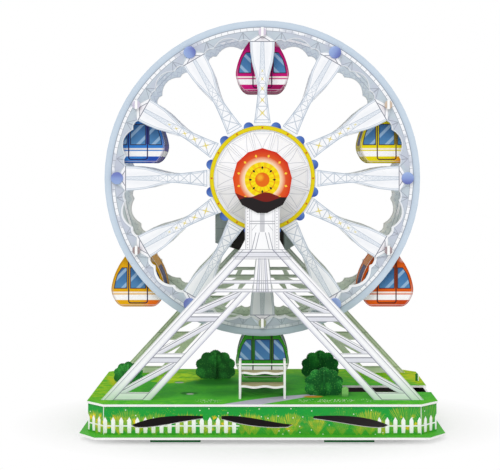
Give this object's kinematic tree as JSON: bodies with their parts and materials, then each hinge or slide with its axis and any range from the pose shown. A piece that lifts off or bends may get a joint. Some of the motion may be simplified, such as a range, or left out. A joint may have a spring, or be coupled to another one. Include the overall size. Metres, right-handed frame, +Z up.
{
  "type": "ferris wheel model kit",
  "caption": "Foam-board ferris wheel model: a spoked double wheel with hanging cabins turns between A-frames on a hollow lawn base, driven by a rear hand crank and gears.",
  "frame": {"origin": "middle of the whole object's box in plan, on the surface that the feet stand on", "axes": "+Z up, +X to the right of someone facing the stairs, +Y from the front (stairs) to the rear (crank); the wheel's axis is along Y"},
  "size_m": [0.322, 0.169, 0.3753],
  "materials": {
    "base_board": "printed foam board, satin, white foam edges",
    "wall_board": "printed foam board, satin, folded at the corners",
    "tree_board": "printed foam board, satin",
    "frame_board": "printed foam board, white with grey lines, satin",
    "rim_board": "printed foam board, pale blue-grey, satin",
    "spoke_board": "printed foam board, white with grey truss lines, satin",
    "hub_ring_board": "printed foam board, yellow, satin",
    "disc_board": "printed foam board, red to orange, satin",
    "drive_box_board": "printed foam board, dark green-grey, satin",
    "cap_plastic": "moulded, blue, gloss",
    "dowel_wood": "plain turned dowel, unfinished",
    "gear_plastic": "moulded, matt",
    "crank_plastic": "moulded, matt",
    "knob_plastic": "moulded, gloss",
    "yellow_cabin_board": "printed foam board, yellow, satin",
    "magenta_cabin_board": "printed foam board, magenta, satin",
    "blue_cabin_board": "printed foam board, blue, satin",
    "gold_cabin_board": "printed foam board, gold, satin",
    "green_cabin_board": "printed foam board, green, satin",
    "orange_cabin_board": "printed foam board, orange, satin"
  },
  "bodies": {
    "base": {"bottom_plate": "base_board", "top_plate": "base_board", "front_wall": "wall_board", "rear_wall": "wall_board", "left_wall": "wall_board", "right_wall": "wall_board", "left_tree": "tree_board", "right_rear_tree": "tree_board", "right_front_tree": "tree_board", "left_rear_tree": "tree_board", "front_frame": "frame_board", "rear_frame": "frame_board", "stair_left_side": "frame_board", "stair_right_side": "frame_board", "stair_lower_tread": "frame_board", "stair_upper_tread": "frame_board", "front_disc": "disc_board", "drive_box": "drive_box_board", "drive_box_cover": "drive_box_board"},
    "wheel": {"front_rim": "rim_board", "rear_rim": "rim_board", "front_spokes": "spoke_board", "rear_spokes": "spoke_board", "hub_cone": "spoke_board", "front_hub_ring": "hub_ring_board", "rim_spacer_1": "cap_plastic", "rim_spacer_2": "cap_plastic", "rim_spacer_3": "cap_plastic", "rim_spacer_4": "cap_plastic", "rim_spacer_5": "cap_plastic", "rim_spacer_6": "cap_plastic", "axle": "dowel_wood", "yellow_cabin_pin": "dowel_wood", "magenta_cabin_pin": "dowel_wood", "blue_cabin_pin": "dowel_wood", "gold_cabin_pin": "dowel_wood", "green_cabin_pin": "dowel_wood", "orange_cabin_pin": "dowel_wood", "drive_gear": "gear_plastic"},
    "crank": {"crank_pinion": "gear_plastic", "crank_arm": "crank_plastic"},
    "knob": {"crank_knob": "knob_plastic"},
    "yellow_cabin": {"yellow_cabin_front": "yellow_cabin_board", "yellow_cabin_rear": "yellow_cabin_board", "yellow_cabin_shell": "yellow_cabin_board"},
    "magenta_cabin": {"magenta_cabin_front": "magenta_cabin_board", "magenta_cabin_rear": "magenta_cabin_board", "magenta_cabin_shell": "magenta_cabin_board"},
    "blue_cabin": {"blue_cabin_front": "blue_cabin_board", "blue_cabin_rear": "blue_cabin_board", "blue_cabin_shell": "blue_cabin_board"},
    "gold_cabin": {"gold_cabin_front": "gold_cabin_board", "gold_cabin_rear": "gold_cabin_board", "gold_cabin_shell": "gold_cabin_board"},
    "green_cabin": {"green_cabin_front": "green_cabin_board", "green_cabin_rear": "green_cabin_board", "green_cabin_shell": "green_cabin_board"},
    "orange_cabin": {"orange_cabin_front": "orange_cabin_board", "orange_cabin_rear": "orange_cabin_board", "orange_cabin_shell": "orange_cabin_board"}
  },
  "joints": [
    {"name": "wheel_spin", "type": "hinge", "parent": "base", "child": "wheel", "pos_m": [0, 0, 0.2303], "axis": [0, 1, 0], "continuous": true},
    {"name": "crank_spin", "type": "hinge", "parent": "base", "child": "crank", "pos_m": [-0.02065, 0, 0.20081], "axis": [0, 1, 0], "continuous": true},
    {"name": "knob_spin", "type": "hinge", "parent": "crank", "child": "knob", "pos_m": [0.00935, 0, 0.20081], "axis": [0, 1, 0], "continuous": true},
    {"name": "yellow_cabin_swing", "type": "hinge", "parent": "wheel", "child": "yellow_cabin", "pos_m": [0.11535, 0, 0.2969], "axis": [0, 1, 0], "continuous": true},
    {"name": "magenta_cabin_swing", "type": "hinge", "parent": "wheel", "child": "magenta_cabin", "pos_m": [0, 0, 0.3635], "axis": [0, 1, 0], "continuous": true},
    {"name": "blue_cabin_swing", "type": "hinge", "parent": "wheel", "child": "blue_cabin", "pos_m": [-0.11535, 0, 0.2969], "axis": [0, 1, 0], "continuous": true},
    {"name": "gold_cabin_swing", "type": "hinge", "parent": "wheel", "child": "gold_cabin", "pos_m": [-0.11535, 0, 0.1637], "axis": [0, 1, 0], "continuous": true},
    {"name": "green_cabin_swing", "type": "hinge", "parent": "wheel", "child": "green_cabin", "pos_m": [0, 0, 0.0971], "axis": [0, 1, 0], "continuous": true},
    {"name": "orange_cabin_swing", "type": "hinge", "parent": "wheel", "child": "orange_cabin", "pos_m": [0.11535, 0, 0.1637], "axis": [0, 1, 0], "continuous": true}
  ],
  "couplings": [
    {"joint": "crank_spin", "follows": "wheel_spin", "ratio": -3},
    {"joint": "yellow_cabin_swing", "follows": "wheel_spin", "ratio": -1},
    {"joint": "magenta_cabin_swing", "follows": "wheel_spin", "ratio": -1},
    {"joint": "blue_cabin_swing", "follows": "wheel_spin", "ratio": -1},
    {"joint": "gold_cabin_swing", "follows": "wheel_spin", "ratio": -1},
    {"joint": "green_cabin_swing", "follows": "wheel_spin", "ratio": -1},
    {"joint": "orange_cabin_swing", "follows": "wheel_spin", "ratio": -1}
  ]
}
